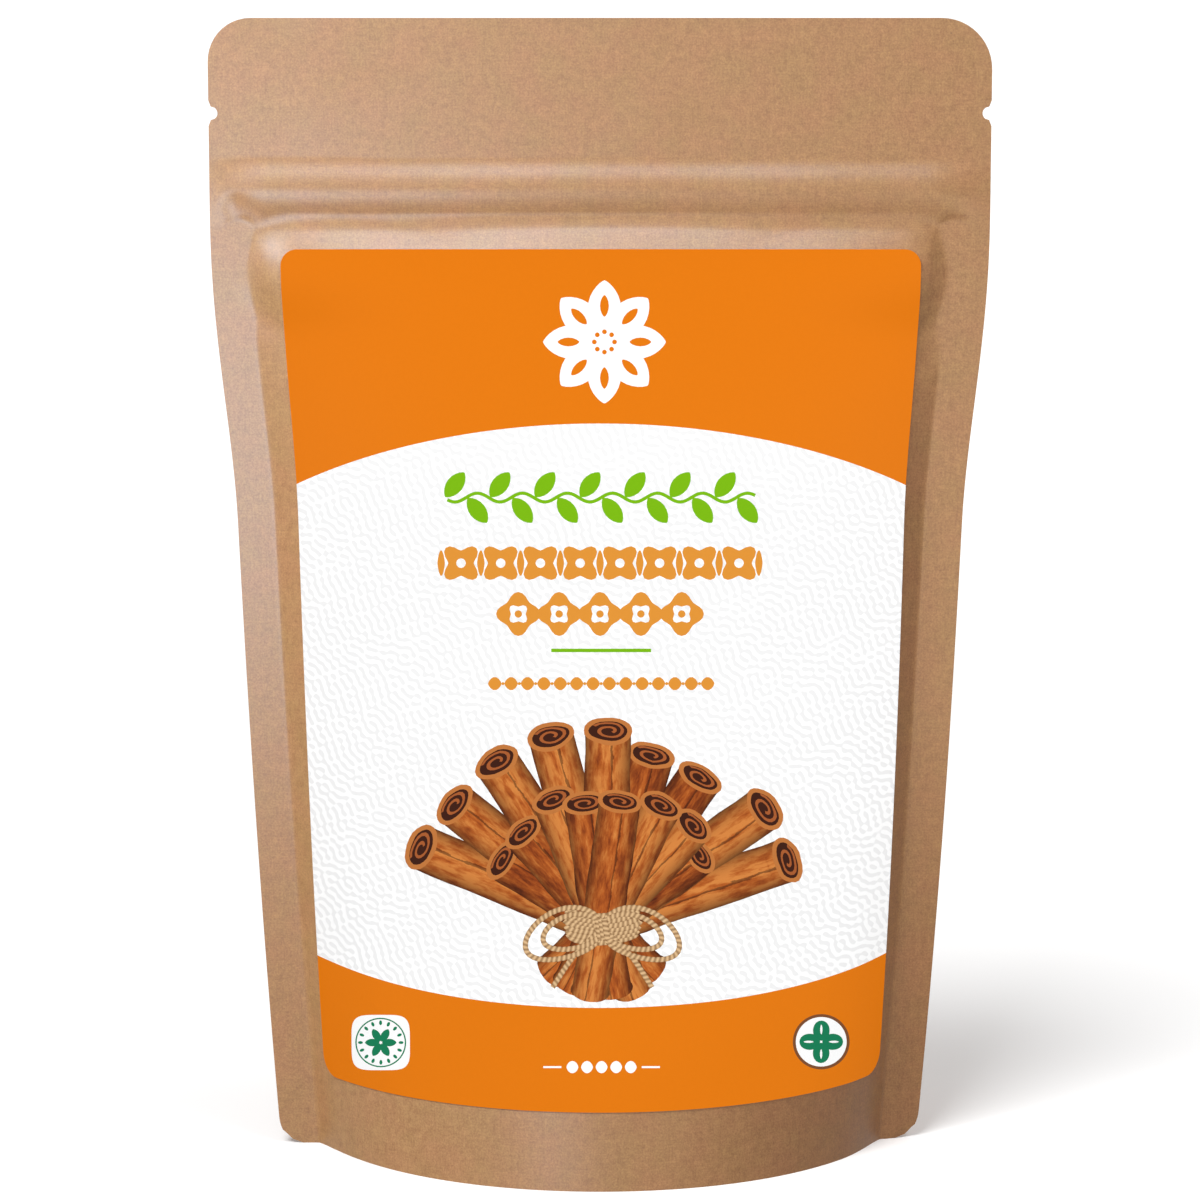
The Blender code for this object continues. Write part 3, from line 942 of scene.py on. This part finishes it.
def disc(drawing, ink, centre, across, tall, corners=40, power=2.0):
    """Adds an oval, or with a higher power a square with round corners."""
    outline = []
    for step in range(corners):
        angle = 2.0 * math.pi * step / corners
        c, s = math.cos(angle), math.sin(angle)
        outline.append((
            centre[0] + math.copysign(abs(c) ** (2.0 / power), c) * across / 2,
            centre[1] + math.copysign(abs(s) ** (2.0 / power), s) * tall / 2,
        ))
    drawing.append((outline, ink, None))


def label_edge_s(z, half):
    """The place along the paper of the label's left or right edge at this height."""
    share = (z - LABEL_FOOT) / (LABEL_HEAD - LABEL_FOOT)
    width = LABEL_FOOT_WIDTH + (LABEL_HEAD_WIDTH - LABEL_FOOT_WIDTH) * share
    offset = LABEL_FOOT_OFFSET + (LABEL_HEAD_OFFSET - LABEL_FOOT_OFFSET) * share
    return offset + half * width / 2


def seen(places):
    """Places along the paper and up, as millimetres across and up on the drawing plane."""
    return [tuple(p) for p in np.stack(as_seen(*np.array(places, float).T), axis=1) * 1000.0]


def label_outline():
    """The label's edge, anticlockwise from its lower right, with rounded corners."""
    places = []
    for half, edge, radius, first in (
        (1, LABEL_FOOT, LABEL_FOOT_CORNER, -90.0),
        (1, LABEL_HEAD, LABEL_HEAD_CORNER, 0.0),
        (-1, LABEL_HEAD, LABEL_HEAD_CORNER, 90.0),
        (-1, LABEL_FOOT, LABEL_FOOT_CORNER, 180.0),
    ):
        z_centre = edge + (radius if edge == LABEL_FOOT else -radius)
        s_centre = label_edge_s(z_centre, half) - half * radius
        for step in range(LABEL_CORNER_STEPS + 1):
            angle = math.radians(first + 90.0 * step / LABEL_CORNER_STEPS)
            places.append((s_centre + radius * math.cos(angle), z_centre + radius * math.sin(angle)))
    filled = []
    for a, b in zip(places, places[1:] + places[:1]):
        steps = max(1, round(math.hypot(b[0] - a[0], b[1] - a[1]) / LABEL_EDGE_STEP))
        filled += [(a[0] + (b[0] - a[0]) * i / steps, a[1] + (b[1] - a[1]) * i / steps) for i in range(steps)]
    return seen(filled)


def arc_places(arc):
    """An arc's points, from beyond the label's left edge to beyond its right edge."""
    middle, rise = arc
    across = np.linspace(-ARC_REACH, ARC_REACH, ARC_POINTS)
    return [(s, middle + rise * (s / ARC_HALF_WIDTH) ** 2) for s in across]


# The drawing: outlines in millimetres, the later ones over the earlier ones

def draw_bands(drawing):
    """The label in orange, and the white field between its two arcs."""
    drawing.append((label_outline(), "orange", None))
    drawing.append((seen(arc_places(LOWER_ARC)) + seen(arc_places(UPPER_ARC))[::-1], "white", None))


def draw_emblem(drawing):
    """A white flower of eight pointed petals, each with an orange seed."""
    centre = (1.1, 212.6)
    ornaments(drawing, "paper", centre, count=8, ring=8.3, length=13.8, width=8.2, point=0.55, corners=28)
    disc(drawing, "paper", centre, 8.4, 8.4)
    ornaments(drawing, "orange", centre, count=8, ring=8.9, length=5.4, width=2.2, point=0.4, corners=16)
    ornaments(drawing, "orange", centre, count=8, ring=2.5, length=1.2, width=1.2, corners=10)


def draw_rows(drawing):
    """The rows under the emblem: a leafy vine, two rows of bold flowers, a rule and a fine row."""
    vine, bold, lower, fine = (0.3, 174.0), (0.0, 157.6), (0.0, 144.8), (0.3, 127.2)
    leaf = 5.6
    wave = [
        (x, vine[1] + 1.1 * math.sin((x - vine[0]) * math.pi / leaf)) for x in np.linspace(-38.0, 38.6, 120)
    ]
    ribbon(drawing, "green", wave, 0.85)
    ornaments(
        drawing, "green", vine, count=14, pitch=leaf, length=7.8, width=4.2, point=0.5,
        turn_to_and_fro=math.radians(52.0), sway=3.2, corners=20,
    )
    slant = math.radians(45.0)
    ornaments(
        drawing, "tan", bold, count=8, pitch=9.9, length=8.6, width=8.6, depth=0.26, turn=slant, corners=32
    )
    ornaments(drawing, "white", bold, count=8, pitch=9.9, length=2.4, width=2.4, corners=12)
    ornaments(drawing, "tan", bold, count=9, pitch=9.9, length=1.9, width=6.6, point=0.6, corners=14)
    ornaments(drawing, "tan", lower, count=5, pitch=10.2, length=9.6, width=9.6, depth=0.16, corners=32)
    ornaments(
        drawing, "white", lower, count=5, pitch=10.2, length=4.6, width=4.6, depth=0.2, turn=slant, corners=24
    )
    ornaments(drawing, "tan", lower, count=5, pitch=10.2, length=1.9, width=1.9, corners=12)
    ribbon(drawing, "green", [(-12.2, 135.6), (0.3, 135.6), (12.8, 135.6)], 0.9)
    ornaments(drawing, "tan", fine, count=14, pitch=4.1, length=3.4, width=3.4, point=0.5, corners=14)
    ornaments(drawing, "tan", fine, count=13, pitch=4.1, length=0.8, width=0.8, corners=8)


def draw_sheaf(drawing):
    """Bark rolls tied in a sheaf and fanned out above the tie, with a bow of jute twine."""
    tie = (0.6, 66.0)
    for width, open_end, count, facing, spread, length, unevenness, seed in (
        (9.5, False, 6, 180.0, 44.0, 17.5, 1.1, 5),
        (11.5, True, 9, 0.0, 69.0, 47.5, 1.3, 3),
        (10.5, True, 8, 0.0, 56.0, 32.0, 1.2, 8),
    ):
        bark_rolls(
            drawing, tie, width, open_end, count=count, facing=math.radians(facing),
            spread=math.radians(spread), root=0.0, length=length, unevenness=unevenness, seed=seed,
        )
    for strand in range(7):
        path = []
        for turn in np.linspace(-1.45, 1.45, 22):
            height = 1.15 * (strand - 3.0) - 2.6 * math.cos(turn) + 0.3 * math.sin(2.0 * turn + strand)
            path.append((tie[0] + (9.6 - 0.3 * abs(strand - 3)) * math.sin(turn), tie[1] + 1.0 + height))
        ribbon(drawing, "twine", path, 1.5, strand * 0.3)
    knot = (tie[0], tie[1] - 1.6)
    for half in (-1, 1):
        tail = []
        for t in np.linspace(0.0, 1.0, 20):
            hang = -14.5 * t**0.8 + 2.2 * math.sin(3.4 * t)
            tail.append((knot[0] + half * (0.6 + 12.0 * t), knot[1] + hang))
        ribbon(drawing, "twine", tail, 1.3, 0.9 * half)
        for reach, rise in ((19.5, 6.4), (15.0, 4.4)):
            loop = []
            for turn in np.linspace(0.0, 2.0 * math.pi, 34):
                out = reach * (1.0 - math.cos(turn)) / 2
                loop.append((knot[0] + half * out, knot[1] + rise * math.sin(turn) - 0.011 * out * out))
            ribbon(drawing, "twine", loop, 1.35, 0.5 * half)
    for aside in (-0.9, 0.0, 0.9):
        path = []
        for t in (-1.0, -0.5, 0.0, 0.5, 1.0):
            path.append((knot[0] + aside + 0.5 * t, knot[1] + 2.6 * math.cos(math.pi * (t + 1.0) / 2)))
        ribbon(drawing, "twine", path, 1.5, aside)


def draw_badges(drawing):
    """A square badge with a green flower in a ring, and a round one with a green clover."""
    left = (-55.6, 35.0)
    disc(drawing, "paper", left, 14.8, 14.4, 56, 4.5)
    disc(drawing, "dark_green", left, 12.9, 12.9, 48)
    disc(drawing, "paper", left, 12.2, 12.2, 48)
    ornaments(drawing, "dark_green", left, count=16, ring=5.15, length=1.3, width=0.8, corners=8)
    ornaments(drawing, "dark_green", left, count=6, ring=2.15, length=3.7, width=2.0, point=0.4, corners=16)
    right = (56.1, 35.2)
    disc(drawing, "brown", right, 14.4, 14.4, 56)
    disc(drawing, "paper", right, 12.9, 12.9, 56)
    ornaments(
        drawing, "dark_green", right, count=4, ring=2.9, length=4.9, width=4.6,
        lobes=2.0, depth=0.08, corners=24,
    )
    ornaments(drawing, "paper", right, count=4, ring=3.2, length=2.6, width=0.6, point=0.4, corners=10)


def draw_divider(drawing):
    """White lozenges between two fine lines, low on the label."""
    centre = (0.4, 28.6)
    ornaments(drawing, "paper", centre, count=5, pitch=3.7, length=3.0, width=3.2, point=0.3, corners=16)
    for half in (-1, 1):
        ribbon(drawing, "paper", [(centre[0] + half * out, centre[1]) for out in (10.2, 14.8)], 0.5)


def frame_place(frame_of_shape, x, y):
    """Across (edge to edge as -1 to 1), along, and tone, of a point in a shape's own frame."""
    if frame_of_shape is None:
        return 0.0, 0.0, 0.0
    x0, y0, turn, half, run, tone = frame_of_shape
    dx, dy = x - x0, y - y0
    across = dx * math.cos(turn) - dy * math.sin(turn)
    return across / half, run + dx * math.sin(turn) + dy * math.cos(turn), tone


# The points that let the flat drawing bend with the paper, in millimetres: spacing, extent, and a small
# shift that keeps them off the drawing's own lines
LABEL_CELL = 2.5
LABEL_ACROSS = (-85.0, 88.0)
LABEL_UP = (20.5, 234.5)
LABEL_SHIFT = (0.013, 0.017)


def make_label():
    """The printed label: one thin closed sheet on the paper, each field of colour cut out in it."""
    drawing = []
    for draw in (draw_bands, draw_emblem, draw_rows, draw_sheaf, draw_badges, draw_divider):
        draw(drawing)
    points, loops = [], []
    for outline, _, _ in drawing:
        area = sum(a[0] * b[1] - b[0] * a[1] for a, b in zip(outline, outline[1:] + outline[:1]))
        loops.append(list(range(len(points), len(points) + len(outline))))
        points += outline if area > 0.0 else outline[::-1]
    for x in np.arange(*LABEL_ACROSS, LABEL_CELL):
        for y in np.arange(*LABEL_UP, LABEL_CELL):
            points.append((x + LABEL_SHIFT[0], y + LABEL_SHIFT[1]))
    flat, _, triangles, _, _, sources = delaunay_2d_cdt([Vector(p) for p in points], [], loops, 0, 1e-4, True)
    shown = [(t, max(source)) for t, source in zip(triangles, sources) if 0 in source]
    used = sorted({i for t, _ in shown for i in t})
    number = {old: new for new, old in enumerate(used)}
    x, z = np.array([flat[i] for i in used]).T * 0.001
    s, z = on_label(x, z)
    outer, inner = over_front(s, z, LABEL_OVER), over_front(s, z, LABEL_UNDER)

    inks = list(INKS)
    faces, ink_numbers, places = [], [], []
    open_edges = {}
    for triangle, top in shown:
        ids = [number[i] for i in triangle]
        faces.append(ids)
        ink_numbers.append(inks.index(drawing[top][1]))
        places += [frame_place(drawing[top][2], *flat[i]) for i in triangle]
        for a, b in zip(ids, ids[1:] + ids[:1]):
            if (b, a) in open_edges:
                del open_edges[(b, a)]
            else:
                open_edges[(a, b)] = True
    count = len(used)
    faces += [[i + count for i in reversed(ids)] for ids in faces]
    faces += [[b, a, a + count, b + count] for a, b in open_edges]
    plain = inks.index("paper")
    ink_numbers += [plain] * (len(faces) - len(ink_numbers))
    label = make_mesh("printed_label", np.concatenate([outer, inner]), faces, list(INKS.values()))
    mesh = label.data
    mesh.polygons.foreach_set("material_index", ink_numbers)
    place = mesh.attributes.new("print_place", "FLOAT_VECTOR", "CORNER")
    filled = np.zeros((len(mesh.loops), 3), np.float32)
    filled[: len(places)] = places
    place.data.foreach_set("vector", filled.ravel())
    mesh.shade_smooth()
    mesh.set_sharp_from_angle(angle=math.radians(SHARP_FOLD))
    return label


# The studio light

WORLD_STRENGTH = 0.38
WHITE = (1.0, 1.0, 1.0)
FILM_WHITE = (1.0, 1.3, 1.6)
PAPER_WARM = (1.0, 0.75, 0.5)
MIDDLE = (0.0, 0.0, 0.13)
FOOT = (0.0, 0.0, 0.0)


def make_lights(pouch, label, floor):
    """Softboxes: name, place, aim, size, watts and colour, each flagged to light only one thing."""
    world = bpy.data.worlds.new("studio")
    world.use_nodes = True
    give(world.node_tree.nodes["Background"], {"Color": WHITE + (1.0,), "Strength": WORLD_STRENGTH})
    bpy.context.scene.world = world
    bpy.context.scene.view_settings.view_transform = "Standard"
    for name, place, aim, size, power, colour, lit in (
        ("left_key", (-0.56, -0.47, 0.69), MIDDLE, (0.35, 0.35), 6.2, FILM_WHITE, pouch),
        ("low_front", (-0.25, -0.90, 0.12), (0.0, 0.0, 0.08), (0.3, 0.3), 1.7, FILM_WHITE, pouch),
        ("right_low", (0.35, -0.75, 0.05), (0.05, 0.0, 0.05), (0.3, 0.2), 0.7, PAPER_WARM, pouch),
        ("top_strip", (-0.30, -0.55, 0.90), (-0.03, 0.0, 0.25), (1.0, 0.25), 4.1, FILM_WHITE, pouch),
        ("back_fill", (0.5, 1.1, 0.8), MIDDLE, (0.9, 0.9), 14.0, WHITE, pouch),
        ("label_wash", (0.0, -1.3, 0.75), MIDDLE, (5.0, 4.0), 42.0, WHITE, label),
        ("label_low", (0.0, -1.2, 0.25), (0.0, 0.0, 0.05), (2.5, 0.5), 3.3, WHITE, label),
        ("label_left", (-1.2, -0.35, 0.3), MIDDLE, (0.5, 1.0), 5.7, WHITE, label),
        ("label_right", (1.2, -0.35, 0.3), MIDDLE, (0.5, 1.0), 5.7, WHITE, label),
        ("floor_wash", (0.0, 0.2, 2.4), (0.0, 0.2, 0.0), (4.0, 4.0), 8.0, WHITE, floor),
        ("high_key", (-0.75, -1.35, 2.5), FOOT, (1.2, 1.2), 66.0, WHITE, floor),
        ("high_fill", (1.4, -0.9, 2.4), FOOT, (1.4, 1.4), 20.0, WHITE, floor),
        ("backdrop_wash", (0.0, 0.7, 1.0), (0.0, 1.4, 0.7), (2.0, 0.3), 4.5, WHITE, floor),
    ):
        data = bpy.data.lights.new(name, "AREA")
        data.shape = "RECTANGLE"
        data.size, data.size_y = size
        data.energy = power
        data.color = colour
        light = bpy.data.objects.new(name, data)
        light.location = place
        light.rotation_euler = (Vector(aim) - Vector(place)).to_track_quat("-Z", "Y").to_euler()
        bpy.context.scene.collection.objects.link(light)
        receivers = bpy.data.collections.new("lit_by_" + name)
        receivers.objects.link(lit)
        light.light_linking.receiver_collection = receivers


floor = make_stage()
pouch = make_pouch(kraft_paper())
label = make_label()
for piece, node, slot in ((pouch, "pouch", "kraft_paper"), (label, "label", "label_paper")):
    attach(piece, "root")
    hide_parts(node)
make_lights(pouch, label, floor)
